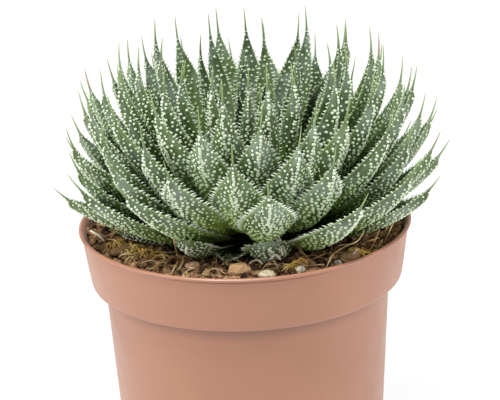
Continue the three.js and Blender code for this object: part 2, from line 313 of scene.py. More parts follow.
def ramp_share(nodes, value, low, high, start=0.0, end=1.0, easing="SMOOTHSTEP"):
    """A value turned into a share: start at low, end at high."""
    limits = {"Value": value, "From Min": low, "From Max": high, "To Min": start, "To Max": end}
    return place_node(nodes, "ShaderNodeMapRange", limits, interpolation_type=easing).outputs["Result"]


def mixed(nodes, share, first, second):
    """Blends two colours, each a socket or a colour, by a share that is a socket or a number."""
    colors = [(*color, 1) if isinstance(color, tuple) else color for color in (first, second)]
    node = place_node(nodes, "ShaderNodeMix", {0: share, 6: colors[0], 7: colors[1]}, data_type="RGBA")
    return node.outputs[2]


def add_bump(nodes, shader, value, strength, distance):
    """Relief of the surface, from a value and its depth in metres."""
    wants = {"Height": value, "Strength": strength, "Distance": distance}
    nodes.links.new(place_node(nodes, "ShaderNodeBump", wants).outputs["Normal"], shader.inputs["Normal"])


def shade(color, factor):
    return tuple(channel * factor for channel in color)


pot_plastic, pot_nodes, pot_shader = new_material("pot_plastic", POT_COLOR, 0.42)
pot_stops = [(0.3, shade(POT_COLOR, 0.94)), (0.7, shade(POT_COLOR, 1.05))]
pot_color = ramp(pot_nodes, object_noise(pot_nodes, 28, 4), pot_stops)
pot_place = place_node(pot_nodes, "ShaderNodeTexCoord").outputs["Object"]
height_on_pot = place_node(pot_nodes, "ShaderNodeSeparateXYZ", {"Vector": pot_place}).outputs["Z"]
# Painted shade: a band of darker plastic just below the step, standing in for the shadow of the collar's
# overhang
shelter_low = (STEP_HEIGHT - SHELTER_DEPTH) * MM
shelter_high = (STEP_HEIGHT + 0.4) * MM
near_step = ramp_share(pot_nodes, height_on_pot, shelter_low, shelter_high, easing="LINEAR")
step_edge = {0: height_on_pot, 1: (STEP_HEIGHT + 0.6) * MM}
under_step = place_node(pot_nodes, "ShaderNodeMath", step_edge, operation="LESS_THAN").outputs[0]
painted_step_shade = times(pot_nodes, near_step, under_step)
pot_color = mixed(pot_nodes, painted_step_shade, pot_color, shade(POT_COLOR, SHELTER_SHADE))
pot_nodes.links.new(pot_color, pot_shader.inputs["Base Color"])
pot_wear = ramp(pot_nodes, object_noise(pot_nodes, 90, 5), [(0.3, (0.38,) * 3), (0.7, (0.5,) * 3)])
pot_nodes.links.new(pot_wear, pot_shader.inputs["Roughness"])
pot_shader.inputs["Specular IOR Level"].default_value = 0.85
pot_shader.inputs["Sheen Weight"].default_value = 0.15
add_bump(pot_nodes, pot_shader, object_noise(pot_nodes, 2600, 2), 0.12, 0.0001)
pot.data.materials.clear()
pot.data.materials.append(pot_plastic)
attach(pot, "root")
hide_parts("pot")

# ---- Potting mix
# A crumbly peat mix that fills the pot nearly to its lip: a dark lumpy body that bulges and dips,
# with thousands of loose crumbs and clods of peat and coir dust strewn on its surface.

MIX_TOP = 92
MIX_DIP = 4.5
DISH_RADIUS = 46
MIX_LUMP = 0.6
MIX_WALL_RADIUS = 56.3
MIX_RING_GAP = 1.5
MIX_SEGMENTS = 144
MIX_RELIEF = 1.1
CRUMB_DENSITY = 0.34
CRUMB_SIZE = 1.9
CLOD_DENSITY = 0.035
CLOD_SIZE = 4.4
FULL_TURN = 6.28  # radians, near enough for a crumb
CRUSHING = 2.2  # how far the crumbs are pushed out of round
PEAT_COLOR = (0.19, 0.105, 0.055)
COIR_DUST_COLOR = (0.55, 0.36, 0.19)


def clamp01(value):
    """The value held between 0 and 1."""
    return np.clip(value, 0.0, 1.0)


def smooth(value):
    """An eased step from 0 to 1."""
    held = clamp01(value)
    return held * held * (3 - 2 * held)


def mix_height(x, y):
    """Height of the surface of the mix: a shallow dish with long low waves."""
    dip = MIX_DIP * smooth((DISH_RADIUS - math.hypot(x, y)) / DISH_RADIUS * 1.3) + 0.5
    coarse = math.sin(0.31 * x + 0.8) * math.cos(0.27 * y - 0.5)
    fine = math.sin(0.71 * x - 0.43 * y + 2) * 0.5
    return MIX_TOP - dip + MIX_LUMP * (coarse + fine)


def clod(x, y):
    """Small relief of the surface, in millimetres."""
    return MIX_RELIEF * noise.fractal(Vector((x * 0.33, y * 0.33, 0)), 0.9, 2.1, 4)


mix_rings = [MIX_RING_GAP * ring for ring in range(int(MIX_WALL_RADIUS / MIX_RING_GAP) + 1)]
mix_profile = [
    (0, POT_FLOOR + 0.3),
    (FOOT_RADIUS - POT_WALL - 0.3, POT_FLOOR + 0.3),
    (STEP_RADIUS - POT_WALL - 0.3, STEP_HEIGHT + 1.3),
    (COLLAR_RADIUS - POT_WALL - 0.4, COLLAR_HEIGHT + 1),
    (MIX_WALL_RADIUS, MIX_TOP),
    *[(radius, MIX_TOP) for radius in reversed(mix_rings)],
]
mix_body = lathe(mix_profile, MIX_SEGMENTS)
for vert in mix_body.verts:
    x, y = vert.co.x / MM, vert.co.y / MM
    if vert.co.z > (MIX_TOP - 0.01) * MM:
        edge = min(1, (MIX_WALL_RADIUS + 1 - math.hypot(x, y)) / 3)
        vert.co.z = (mix_height(x, y) - 0.25 + clod(x, y) * edge) * MM
bmesh.ops.recalc_face_normals(mix_body, faces=mix_body.faces)
mix_mesh = bpy.data.meshes.new("peat_mix")
mix_body.to_mesh(mix_mesh)
mix_body.free()
mix_mesh.shade_smooth()
# The crumbs lie only where this is 1
surface = mix_mesh.attributes.new("surface", "FLOAT", "POINT")
places = np.empty(len(mix_mesh.vertices) * 3, np.float32)
mix_mesh.vertices.foreach_get("co", places)
surface.data.foreach_set("value", (places[2::3] > (MIX_TOP - 6) * MM).astype(np.float32))

peat, peat_nodes, peat_shader = new_material("peat", PEAT_COLOR, 0.95)
peat_shader.inputs["Specular IOR Level"].default_value = 0.2
peat_stops = [
    (0.38, shade(PEAT_COLOR, 0.1)),
    (0.47, shade(PEAT_COLOR, 0.7)),
    (0.55, shade(PEAT_COLOR, 2.0)),
    (0.66, COIR_DUST_COLOR),
]
peat_color = ramp(peat_nodes, object_noise(peat_nodes, 340, 5), peat_stops)
peat_nodes.links.new(peat_color, peat_shader.inputs["Base Color"])
add_bump(peat_nodes, peat_shader, object_noise(peat_nodes, 1400, 5), 0.8, 0.0006)


def new_tree(name, wants):
    """An empty Geometry Nodes tree with named inputs. wants is {name: (socket type, value)}."""
    tree = bpy.data.node_groups.new(name, "GeometryNodeTree")
    tree.interface.new_socket("Geometry", in_out="INPUT", socket_type="NodeSocketGeometry")
    tree.interface.new_socket("Geometry", in_out="OUTPUT", socket_type="NodeSocketGeometry")
    for want, (kind, value) in wants.items():
        socket = tree.interface.new_socket(want, in_out="INPUT", socket_type=kind)
        if value is not None:
            socket.default_value = value
    entry = tree.nodes.new("NodeGroupInput")
    leave = tree.nodes.new("NodeGroupOutput")
    return tree, entry, leave


def give_tree(piece, tree, values):
    """Gives the piece the tree as a modifier, with these input values."""
    modifier = piece.modifiers.new(tree.name, "NODES")
    modifier.node_group = tree
    sockets = {item.name: item for item in tree.interface.items_tree if item.in_out == "INPUT"}
    for key, value in values.items():
        modifier[sockets[key].identifier] = value


def join_parts(tree, *parts):
    """Joins the geometry of several sockets."""
    joint = place_node(tree, "GeometryNodeJoinGeometry")
    for part in parts:
        tree.links.new(part, joint.inputs["Geometry"])
    return joint.outputs["Geometry"]


def realized(tree, geometry):
    real = place_node(tree, "GeometryNodeRealizeInstances", {"Geometry": geometry})
    return real.outputs["Geometry"]


def painted(tree, geometry, material, selection=True):
    wants = {"Geometry": geometry, "Selection": selection, "Material": material}
    return place_node(tree, "GeometryNodeSetMaterial", wants).outputs["Geometry"]


crumb_tree, entry, leave = new_tree(
    "strew_crumbs",
    {
        "Crumbs per Square mm": ("NodeSocketFloat", CRUMB_DENSITY),
        "Crumb Size": ("NodeSocketFloat", CRUMB_SIZE * MM),
        "Clods per Square mm": ("NodeSocketFloat", CLOD_DENSITY),
        "Clod Size": ("NodeSocketFloat", CLOD_SIZE * MM),
        "Seed": ("NodeSocketInt", 4),
        "Peat": ("NodeSocketMaterial", None),
    },
)


def named(tree, name, kind="FLOAT"):
    """The value of a named attribute, in a Geometry Nodes tree."""
    node = place_node(tree, "GeometryNodeInputNamedAttribute", {"Name": name}, data_type=kind)
    return node.outputs["Attribute"]


def strewn(tree, entry, what, size, subdivisions):
    """Tumbled crumbs on the surface of the mix, or tumbled clods."""
    per_square_metre = times(tree, entry.outputs[what], 1 / MM**2)
    density = times(tree, per_square_metre, named(tree, "surface"))
    spots = place_node(
        tree,
        "GeometryNodeDistributePointsOnFaces",
        {"Mesh": entry.outputs["Geometry"], "Density": density, "Seed": entry.outputs["Seed"]},
    )
    ball = place_node(tree, "GeometryNodeMeshIcoSphere", {"Radius": 0.5, "Subdivisions": subdivisions})
    tumble = place_node(
        tree,
        "FunctionNodeRandomValue",
        {"Min": (0, 0, 0), "Max": (FULL_TURN,) * 3, "Seed": entry.outputs["Seed"]},
        data_type="FLOAT_VECTOR",
    )
    stretch = place_node(
        tree,
        "FunctionNodeRandomValue",
        {"Min": (0.3, 0.25, 0.2), "Max": (1.2, 0.9, 0.65), "Seed": 11},
        data_type="FLOAT_VECTOR",
    )
    scale = place_node(
        tree,
        "ShaderNodeVectorMath",
        {0: stretch.outputs["Value"], "Scale": entry.outputs[size]},
        operation="SCALE",
    )
    heap = place_node(
        tree,
        "GeometryNodeInstanceOnPoints",
        {
            "Points": spots.outputs["Points"],
            "Instance": ball.outputs["Mesh"],
            "Rotation": tumble.outputs["Value"],
            "Scale": scale.outputs["Vector"],
        },
    )
    return heap.outputs["Instances"]


crumbs = strewn(crumb_tree, entry, "Crumbs per Square mm", "Crumb Size", 1)
clods = strewn(crumb_tree, entry, "Clods per Square mm", "Clod Size", 2)
loose = realized(crumb_tree, join_parts(crumb_tree, crumbs, clods))
rough_noise = place_node(crumb_tree, "ShaderNodeTexNoise", {"Scale": 420.0, "Detail": 2.0})
centred = place_node(
    crumb_tree,
    "ShaderNodeVectorMath",
    {0: rough_noise.outputs["Color"], 1: (0.5, 0.5, 0.5)},
    operation="SUBTRACT",
)
push = place_node(
    crumb_tree,
    "ShaderNodeVectorMath",
    {0: centred.outputs["Vector"], "Scale": CRUSHING * MM},
    operation="SCALE",
)
crushed = place_node(
    crumb_tree,
    "GeometryNodeSetPosition",
    {"Geometry": loose, "Offset": push.outputs["Vector"]},
)
whole = join_parts(crumb_tree, crushed.outputs["Geometry"], entry.outputs["Geometry"])
whole = painted(crumb_tree, realized(crumb_tree, whole), entry.outputs["Peat"])
crumb_tree.links.new(whole, leave.inputs["Geometry"])

mix = add_object("peat_mix", mix_mesh)
give_tree(mix, crumb_tree, {"Peat": peat})
finished(mix)
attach(mix, "root")
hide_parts("potting_mix")

# ---- Coir strands
# Tan fibres of coconut husk mixed into the peat. They lie on it in loose bends and loops, some
# stand up out of it, and short straw-coloured splinters lie among them.

STRAND_COUNT = 150
STRAND_STEPS = 14
STRAND_LIMIT = 55  # no loose strand lies further out than this
LONG_STRAND_RADIUS = 0.3
PALE_STRAND_RADIUS = 0.34
STRANDS_PER_MAT = 26
BEND_STEPS = 6
# Long strands: start (place round the pot in degrees, distance and height over the mix in
# millimetres), then the points that each passes through
LONG_STRANDS = [
    [(-124, 45, 18), (-124, 46, 17), (-126, 42, 9), (-128, 39, 3.5), (-128, 38, 0.5)],
    [(-128, 38, 1), (-122, 45, 1.8), (-120, 52, 0.8)],
    [(-128, 38, 1), (-122, 41, 2.2), (-119, 48, 1)],
    [(-138, 45, 0.6), (-135, 44, 2), (-131, 44, 2.5), (-128, 46, 2), (-129, 48, 1.2), (-128, 52, 0.6)],
    [(-149, 52, 0.6), (-147, 51, 1.8), (-145, 48, 2.2), (-145, 44, 1.5)],
    [(-58, 52, 0.6), (-52, 48.5, 2.2), (-44, 48, 3.2), (-40, 50, 5), (-35, 49.5, 6), (-30, 49, 8)],
    [(-66, 38.5, 0.8), (-61, 43.5, 2.4)],
    [(-58, 43.5, 1.2), (-53, 47, 3)],
    [(-61, 49, 0.4), (-62, 42, 3.5), (-63, 39, 6)],
    [(-37, 53.5, 1), (-34, 54, 4), (-29, 54, 7.5)],
    [(-34, 49, 3), (-35, 53, 4.5), (-30, 54, 4)],
    [(-25, 54, 1), (-20, 54.5, 4), (-14, 55, 6)],
    [(-22, 52, 2), (-16, 54, 5), (-10, 55, 7)],
    [(-168, 51, 1), (-160, 49, 3), (-154, 49, 2.4), (-148, 51, 1)],
]
# Pale husk fibres: the same three numbers for each point
PALE_STRANDS = [
    [(-89, 38.5, 0.6), (-87, 38.5, 1.8), (-84, 39.5, 2.4), (-82, 41, 1.4)],
    [(-48, 52, 0.8), (-43, 53, 3.2)],
    [(-76, 39, 12.5), (-74, 40, 9), (-76, 41, 6)],
    [(-79, 41, 12), (-76, 42, 12.5), (-73, 41, 11)],
    [(-75, 40, 12), (-72, 41, 8), (-71, 42, 4)],
    [(-79, 42, 3), (-76, 43, 5), (-74, 43, 3)],
    [(-174, 56, 3.4), (-170, 55.2, 4.6), (-165, 54, 4.2), (-163, 52.4, 3)],
    [(-78, 40.5, 13), (-77, 41.5, 10), (-76, 42.5, 7)],
    [(-75, 40.5, 13), (-75, 41.5, 9.5), (-74, 43, 6)],
    [(-73.5, 41, 11), (-73.5, 42, 8), (-73, 43.5, 5)],
]
# Yellow husk mats: place, distance and size of each in millimetres
HUSK_MATS = [(-144, 43, 4.5), (-178, 42, 5), (-160, 48, 6.5), (-151, 46, 5.5), (-66, 46, 4), (-40, 53, 4)]
# Dark, middle and light colour of each kind of fibre
COIR_COLORS = ((0.22, 0.085, 0.030), (0.48, 0.30, 0.12), (0.80, 0.62, 0.34))
YELLOW_HUSK_COLORS = ((0.42, 0.22, 0.06), (0.80, 0.52, 0.12), (0.95, 0.76, 0.26))
PALE_HUSK_COLORS = ((0.55, 0.46, 0.33), (0.75, 0.68, 0.54), (0.85, 0.82, 0.72))


def smooth_path(points):
    """A Catmull-Rom path through the points."""
    held = [points[0] * 2 - points[1], *points, points[-1] * 2 - points[-2]]
    path = []
    for k in range(1, len(held) - 2):
        a, b, c, d = held[k - 1 : k + 3]
        for step in range(BEND_STEPS):
            t = step / BEND_STEPS
            square = (2 * a - 5 * b + 4 * c - d) * t**2
            cube = (3 * b - a - 3 * c + d) * t**3
            path.append(0.5 * (2 * b + (c - a) * t + square + cube))
    return path + [points[-1]]


def over_mix(place, distance, height):
    """A point over the mix, from its place round the pot in degrees, its distance and height."""
    x = distance * math.cos(math.radians(place))
    y = distance * math.sin(math.radians(place))
    return Vector((x, y, mix_height(x, y) + height))


def random_strand(angle, distance, heading, length, lift):
    """A loosely curled strand that starts at a place on the mix and follows its surface."""
    curl = random.gauss(0, 0.16)
    x, y = distance * math.cos(angle), distance * math.sin(angle)
    path = []
    for step in range(STRAND_STEPS):
        share = step / (STRAND_STEPS - 1)
        out = math.hypot(x, y)
        if out > STRAND_LIMIT:
            x, y = x * STRAND_LIMIT / out, y * STRAND_LIMIT / out
        path.append(Vector((x, y, mix_height(x, y) + 0.6 + lift * math.sin(math.pi * share))))
        heading += curl
        x += math.cos(heading) * length / STRAND_STEPS
        y += math.sin(heading) * length / STRAND_STEPS
    return path


def laid_out(all_points, radius):
    """The paths through these points over the mix, each with the radius of its fibre."""
    return [(smooth_path([over_mix(*point) for point in points]), radius) for points in all_points]


random.seed(12)
strands = laid_out(LONG_STRANDS, LONG_STRAND_RADIUS)
for number in range(STRAND_COUNT):
    angle = random.uniform(0, 2 * math.pi)
    distance = math.sqrt(random.uniform(30**2, 54**2))
    heading = random.uniform(0, 2 * math.pi)
    path = random_strand(angle, distance, heading, random.uniform(4, 14), random.uniform(0.3, 2.2))
    strands.append((path, random.uniform(0.09, 0.22)))
pale_strands = laid_out(PALE_STRANDS, PALE_STRAND_RADIUS)
mat_strands = []
for place, distance, size in HUSK_MATS:
    middle = over_mix(place, distance, 0)
    lie = random.uniform(0, math.pi)
    for number in range(STRANDS_PER_MAT):
        x = middle.x + random.gauss(0, size / 2.6)
        y = middle.y + random.gauss(0, size / 2.6)
        heading = lie + random.gauss(0, 0.5)
        length, lift = random.uniform(3, 8), random.uniform(0.2, 1.8)
        path = random_strand(math.atan2(y, x), math.hypot(x, y), heading, length, lift)
        mat_strands.append((path, random.uniform(0.12, 0.28)))

strand_tree, entry, leave = new_tree(
    "spin_strands",
    {"Sides": ("NodeSocketInt", 5), "Coir": ("NodeSocketMaterial", None)},
)
ring = place_node(
    strand_tree,
    "GeometryNodeCurvePrimitiveCircle",
    {"Resolution": entry.outputs["Sides"], "Radius": 1.0},
)
radius = place_node(strand_tree, "GeometryNodeInputRadius")
spun = place_node(
    strand_tree,
    "GeometryNodeCurveToMesh",
    {
        "Curve": entry.outputs["Geometry"],
        "Profile Curve": ring.outputs["Curve"],
        "Scale": radius.outputs["Radius"],
        "Fill Caps": True,
    },
)
soft = place_node(strand_tree, "GeometryNodeSetShadeSmooth", {"Geometry": spun.outputs["Mesh"]})
whole = painted(strand_tree, realized(strand_tree, soft.outputs["Geometry"]), entry.outputs["Coir"])
strand_tree.links.new(whole, leave.inputs["Geometry"])


def fibre_material(name, colors, positions):
    """Dry fibre whose colour goes from a dark one to a light one in patches of noise, with a fine grain.
    """
    stops = list(zip(positions, colors))
    material, nodes, shader = new_material(name, colors[1], 0.7)
    nodes.links.new(ramp(nodes, object_noise(nodes, 130, 2), stops), shader.inputs["Base Color"])
    add_bump(nodes, shader, object_noise(nodes, 4000, 3), 0.4, 0.0001)
    return material


def spin(name, strands, material):
    """Round fibres, thinner at their ends, along the paths of the strands."""
    curve = bpy.data.curves.new(name, "CURVE")
    curve.dimensions = "3D"
    for path, radius in strands:
        spline = curve.splines.new("POLY")
        spline.points.add(len(path) - 1)
        for k, point in enumerate(path):
            end_taper = min(1, 0.45 + 0.25 * min(k, len(path) - 1 - k))
            spline.points[k].co = (*(point * MM), 1)
            spline.points[k].radius = radius * end_taper * MM
    shape = bpy.data.objects.new(name + "_shape", curve)
    bpy.context.scene.collection.objects.link(shape)
    give_tree(shape, strand_tree, {"Coir": material})
    mesh = plain_mesh(shape)
    bpy.data.objects.remove(shape)
    piece = add_object(name, mesh)
    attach(piece, "root")


coir = fibre_material("coir", COIR_COLORS, (0.38, 0.5, 0.64))
yellow_husk = fibre_material("yellow_husk", YELLOW_HUSK_COLORS, (0.36, 0.5, 0.66))
pale_husk = fibre_material("pale_husk", PALE_HUSK_COLORS, (0.35, 0.5, 0.68))
spin("coir_strands", strands, coir)
spin("husk_mats", mat_strands, yellow_husk)
spin("pale_husk_fibres", pale_strands, pale_husk)

# ---- Pumice stones and bark chips
# Loose pieces that lie half sunk in the mix: pale porous grit, and chips of conifer bark with
# torn flat layers, brown to straw coloured.

BARK_LAYERS = 3.5
# name: kind, half sizes, place round the pot, distance from its middle, turn in degrees, colour
LOOSE_PIECES = {
    "pumice_stone_1": ("pumice", (3.0, 2.0, 1.6), -82, 50, 10, (0.72, 0.61, 0.43)),
    "pumice_stone_2": ("pumice", (1.7, 1.4, 1.3), -68, 49.5, 40, (0.75, 0.71, 0.62)),
    "pumice_stone_3": ("pumice", (1.5, 1.2, 1.2), -52, 51, 0, (0.66, 0.62, 0.54)),
    "pumice_stone_4": ("pumice", (3.2, 2.5, 2.0), 118, 50, 25, (0.62, 0.55, 0.45)),
    "bark_chip_1": ("bark", (4.0, 2.8, 2.2), -93, 45.5, -8, (0.45, 0.27, 0.13)),
    "bark_chip_2": ("bark", (2.8, 1.9, 1.7), -116, 42.5, 20, (0.58, 0.36, 0.24)),
    "bark_chip_3": ("bark", (6.0, 2.8, 1.6), -153, 47, 20, (0.36, 0.20, 0.09)),
    "bark_chip_4": ("bark", (3.9, 2.6, 1.8), -45, 51, 40, (0.36, 0.20, 0.10)),
}


def between(start, end, share):
    return start + (end - start) * share


def worn(point, kind, shift):
    """A point of a unit ball moved to the rough surface of a pumice stone or a bark chip."""
    point = point.copy()
    if kind == "pumice":
        rough = 0.22 * noise.noise(point * 1.3 + shift) + 0.10 * noise.noise(point * 4 + shift)
        pits = -0.10 * max(0, noise.noise(point * 7 + shift) - 0.1)
        return point * (1 + rough + pits)
    layers = round(point.z * BARK_LAYERS) / BARK_LAYERS
    point.z = between(point.z, layers, 0.65)
    return point * (1 + 0.25 * noise.noise(point * 1.1 + shift) + 0.08 * noise.noise(point * 5 + shift))


def stone_material(name, kind, color):
    """Porous grit, or bark with its grain in flat layers."""
    material, nodes, shader = new_material(name, color, 0.9)
    stops = [(0.3, shade(color, 0.45)), (0.5, color), (0.7, shade(color, 1.25))]
    grain = (1, 1, 1) if kind == "pumice" else (1, 1, BARK_LAYERS)
    nodes.links.new(ramp(nodes, object_noise(nodes, 500, 5, grain), stops), shader.inputs["Base Color"])
    add_bump(nodes, shader, object_noise(nodes, 1800, 5, grain), 0.7, 0.0004)
    return material


for number, (name, piece_facts) in enumerate(LOOSE_PIECES.items()):
    kind, half_sizes, place, distance, turned, color = piece_facts
    lump = bmesh.new()
    bmesh.ops.create_icosphere(lump, subdivisions=4, radius=1)
    seat = over_mix(place, distance, 0.45 * half_sizes[2])
    turn = Matrix.Rotation(math.radians(turned), 3, "Z")
    shift = Vector((number * 7.3, number * 3.1, 0))
    for vert in lump.verts:
        sized = Vector([a * b for a, b in zip(worn(vert.co, kind, shift), half_sizes)])
        vert.co = (turn @ sized + seat) * MM
    lump_mesh = bpy.data.meshes.new(name + "_rough")
    lump.to_mesh(lump_mesh)
    lump.free()
    lump_mesh.shade_smooth()
    lump_mesh.materials.append(stone_material(name + "_stuff", kind, color))
    loose = add_object(name + "_rough", lump_mesh)
    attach(loose, "root")
    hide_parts(name)

# ---- Leaves
# Fleshy pointed leaves in a spiral round the stem, each on a bowl-shaped surface of its own, the
# oldest outermost. A leaf is hollow above and keeled below, with soft white teeth along its edges,
# rows of pearly tubercles and a thin dry awn for a tip.

LEAF_COUNT = 122
OUTER_LEAF_COUNT = 46
PICKED_LEAVES = (0, 3, 10, 18, 26, 31, 34)
# Leaves that stayed short, and by how much
STUNTED_BY = {2: 26, 5: 32, 11: 6, 16: 2, 20: 9, 24: 3, 33: 3, 37: 2, 50: 2}
GOLDEN_ANGLE = math.radians(137.508)
FIRST_AZIMUTH = math.radians(313)
ROSETTE_OFFSET = 3.5
DOME_CENTRE = 100
DOME_RADIUS = 76.5
HEART_RADIUS = 43
HEART_START = math.radians(54)
HEART_END = math.radians(82)
NARROW_FROM = math.radians(38)
NARROW_TO = math.radians(68)
LOWEST_RISE_SINE = 0.13
RISE_CROWDING = 0.78
STEM_RADIUS = 10
STEM_TOP_RADIUS = 3
STEM_BOTTOM = 70.4
STEM_SINK = 1.6  # how far the younger leaves reach into the stem
LEAF_CLEARANCE = 0.3  # how far the older ones stay off it
OLD_LEAF_ROOT = 88.7
OLD_LEAF_WIDTH = 10
OLD_LEAF_THICKNESS = 1.5
# Old leaves on the mix: azimuth, degrees bent sideways, distance and height of the tip
OLD_LEAVES = {1: (205, -14, 53, 96.5), 2: (250, 6, 41, 93.2)}
ROOT_LOW = 89.5
ROOT_HIGH = 102
ROOT_CROWDING = 1.15
LEAF_WIDTH = 18.5
HEART_LEAF_WIDTH = 6.2
LEAF_THICKNESS = 2.6
HEART_LEAF_THICKNESS = 1.8
ROOT_THICKNESS = 0.72
LEAF_TAPER = 1.3  # the higher, the sooner and finer the blade draws out to its point
SHORT_LEAF_BLUNTNESS = 0.02  # taken off that for each millimetre that a leaf stayed short
SHORT_LEAF_NARROWING = 0.05
LOW_LEAF_SAG = 0.19
LEAF_SAG = 0.28
HEART_LEAF_SAG = 0.17
SAG_FROM = math.radians(10)
SAG_TO = math.radians(34)
BOW_AT = 0.63
WIDEST_AT = 0.53
AWN_FROM = 0.88
AWN_HALF_WIDTH = 0.4
AWN_TIP_HALF_WIDTH = 0.1
MARGIN_LIFT = 1.1
SCATTER_SWING = 4  # degrees that a leaf may stand off the spiral by chance
SCATTER_REACH = 1.5
# Leaves that stand a little off the spiral: degrees sideways, degrees upward, extra bow
STRAY = {
    2: (17.7, -2.85, 0.02),
    4: (-5, -1, 0),
    5: (-5.8, -5.15, 0.12),
    7: (6.3, 1.15, -0.028),
    8: (-3, 2, 0),
    12: (-6.5, -1.8, 0),
    13: (1, 2, 0),
    15: (-8.4, 2.2, 0),
    20: (-3, -0.4, 0),
    21: (1, 1.5, 0),
    23: (-7, 0.6, -0.05),
    25: (0, -2, 0),
    28: (4.2, 1.3, 0),
    33: (-0.8, 0.4, 0),
    36: (0, 0.7, -0.045),
    39: (-2, -4, -0.035),
    41: (8, -0.45, 0),
    44: (0.5, -2, -0.05),
    46: (5, 2, 0),
    47: (0, -1, 0),
    49: (6.5, 1.5, 0),
    52: (0.5, -0.5, 0),
    55: (4, -0.5, 0),
    60: (2.5, -1, 0),
    65: (1, 2, 0),
    67: (0, -3.5, 0),
    68: (4, 1, 0),
    70: (-7, -1.5, 0),
    77: (2.5, 5, 0),
    78: (-8, -1, 0),
    81: (2.5, -6, 0),
}
SKIN_COLUMNS = 8  # faces across the top of a leaf, and as many across its underside
GROWN_LEAF_ROWS = 34
OLD_LEAF_ROWS = 28
YOUNG_LEAF_ROWS = 28
HEART_LEAF_ROWS = 24
STUD_GAP = 1.68
STUD_WIDTH = 1.3
STUD_FLATNESS = 0.62
STUDDED_SHARE = 0.92  # of the leaf's width
UNDER_STUDS_FROM = 0.16  # the root of a leaf is bare up to here, and further on its upper face
UPPER_STUDS_FROM = 0.42
KEEL_STUDS_FROM = 0.6
STUDS_TO = AWN_FROM - 0.01
KEEL_STUD_GAP = 1.4
TEETH_FROM = 0.14
TEETH_TO = AWN_FROM + 0.005
TOOTH_GAP = 1.85
TOOTH_LENGTH = 2.5
TOOTH_WIDTH = 0.82
SHORT_TEETH_FROM = math.radians(22)  # leaves that rise more steeply than this have shorter teeth
SHORT_TEETH_TO = math.radians(48)
SHORT_TOOTH_SHARE = 0.66
TOOTH_SINK = 0.15
NUDGE = 0.01  # a small step over the skin, which gives the way that it faces
# What the tree and the materials read of each point of a leaf. Its kind is 0 on the skin.
LEAF_FACTS = ("along", "across", "underside", "tone", "kind", "breadth", "reach")
STUD = 1.0
TOOTH = 2.0
# Root, blade and tip colour of the leaves of each age
GROWN_LEAF_COLORS = ((0.22, 0.34, 0.04), (0.102, 0.160, 0.052), (0.130, 0.182, 0.086))
YOUNG_LEAF_COLORS = ((0.25, 0.39, 0.05), (0.098, 0.160, 0.048), (0.125, 0.182, 0.080))
# The old leaves' very dark greens are partly their own colour and partly painted shade, as they lie low
# under the leaves above
OLD_LEAF_COLORS = ((0.035, 0.065, 0.03), (0.03, 0.06, 0.032), (0.06, 0.09, 0.05))
# The upper faces' dark green is painted shade, for the shade that falls on them between the crowded
# leaves
SHADED_UPPER_FACE_COLOR = (0.040, 0.072, 0.028)
BLOOM_COLOR = (0.235, 0.30, 0.24)
# The pale rim is painted light: bright margins that stand in for light shining through them
RIM_GLOW_COLOR = (0.30, 0.43, 0.13)
AWN_COLOR = (0.25, 0.33, 0.13)
WITHERED_AWN_COLOR = (0.34, 0.20, 0.09)
PEARL_STOPS = [
    (0.2, (0.20, 0.34, 0.06)),
    (0.42, (0.40, 0.54, 0.22)),
    (0.6, (0.62, 0.73, 0.50)),
    (0.9, (0.70, 0.78, 0.60)),
]
DULL_PEARL_COLOR = (0.26, 0.36, 0.20)
TOOTH_COLOR = (0.80, 0.85, 0.74)


def scatter(index, kind):
    """A number from -1 to 1 that belongs to a leaf's index and never changes."""
    value = math.sin(index * 12.9898 + kind * 78.233) * 43758.5453
    return (value - math.floor(value)) * 2 - 1


def plan_leaf(index):
    """Where a leaf stands on the stem, where its tip is, and how wide and thick it is."""
    age = (index + 0.5) / LEAF_COUNT
    sideways, upward, extra_bow = STRAY.get(index, (SCATTER_SWING * scatter(index, 2), 0, 0))
    rise = math.asin(between(LOWEST_RISE_SINE, 1, age**RISE_CROWDING)) + math.radians(upward)
    youth = float(smooth((rise - HEART_START) / (HEART_END - HEART_START)))
    narrowing = float(smooth((rise - NARROW_FROM) / (NARROW_TO - NARROW_FROM)))
    shortness = STUNTED_BY.get(index, 0)
    reach = between(DOME_RADIUS, HEART_RADIUS, youth) + SCATTER_REACH * scatter(index, 1) - shortness
    fused = index >= OUTER_LEAF_COUNT
    stem_share = float(clamp01((index - OUTER_LEAF_COUNT) / (LEAF_COUNT - OUTER_LEAF_COUNT)))
    stem_radius = between(STEM_RADIUS, STEM_TOP_RADIUS, stem_share)
    root_height = between(ROOT_LOW, ROOT_HIGH, age**ROOT_CROWDING)
    root_distance = stem_radius - STEM_SINK if fused else STEM_RADIUS + LEAF_CLEARANCE
    sag = between(LOW_LEAF_SAG, LEAF_SAG, float(smooth((rise - SAG_FROM) / (SAG_TO - SAG_FROM))))
    steepness = float(smooth((rise - SHORT_TEETH_FROM) / (SHORT_TEETH_TO - SHORT_TEETH_FROM)))
    return SimpleNamespace(
        index=index,
        azimuth=FIRST_AZIMUTH + index * GOLDEN_ANGLE,
        swing=math.radians(sideways),
        root=np.array((root_distance, root_height)),
        tip=np.array((reach * math.cos(rise), DOME_CENTRE + reach * math.sin(rise))),
        width=between(LEAF_WIDTH, HEART_LEAF_WIDTH, narrowing) - SHORT_LEAF_NARROWING * shortness,
        taper=LEAF_TAPER - SHORT_LEAF_BLUNTNESS * shortness,
        thickness=between(LEAF_THICKNESS, HEART_LEAF_THICKNESS, youth),
        root_thickness=ROOT_THICKNESS,
        sag=between(sag, HEART_LEAF_SAG, youth) + extra_bow,
        youth=youth,
        tooth_reach=between(1, SHORT_TOOTH_SHARE, steepness),
    )


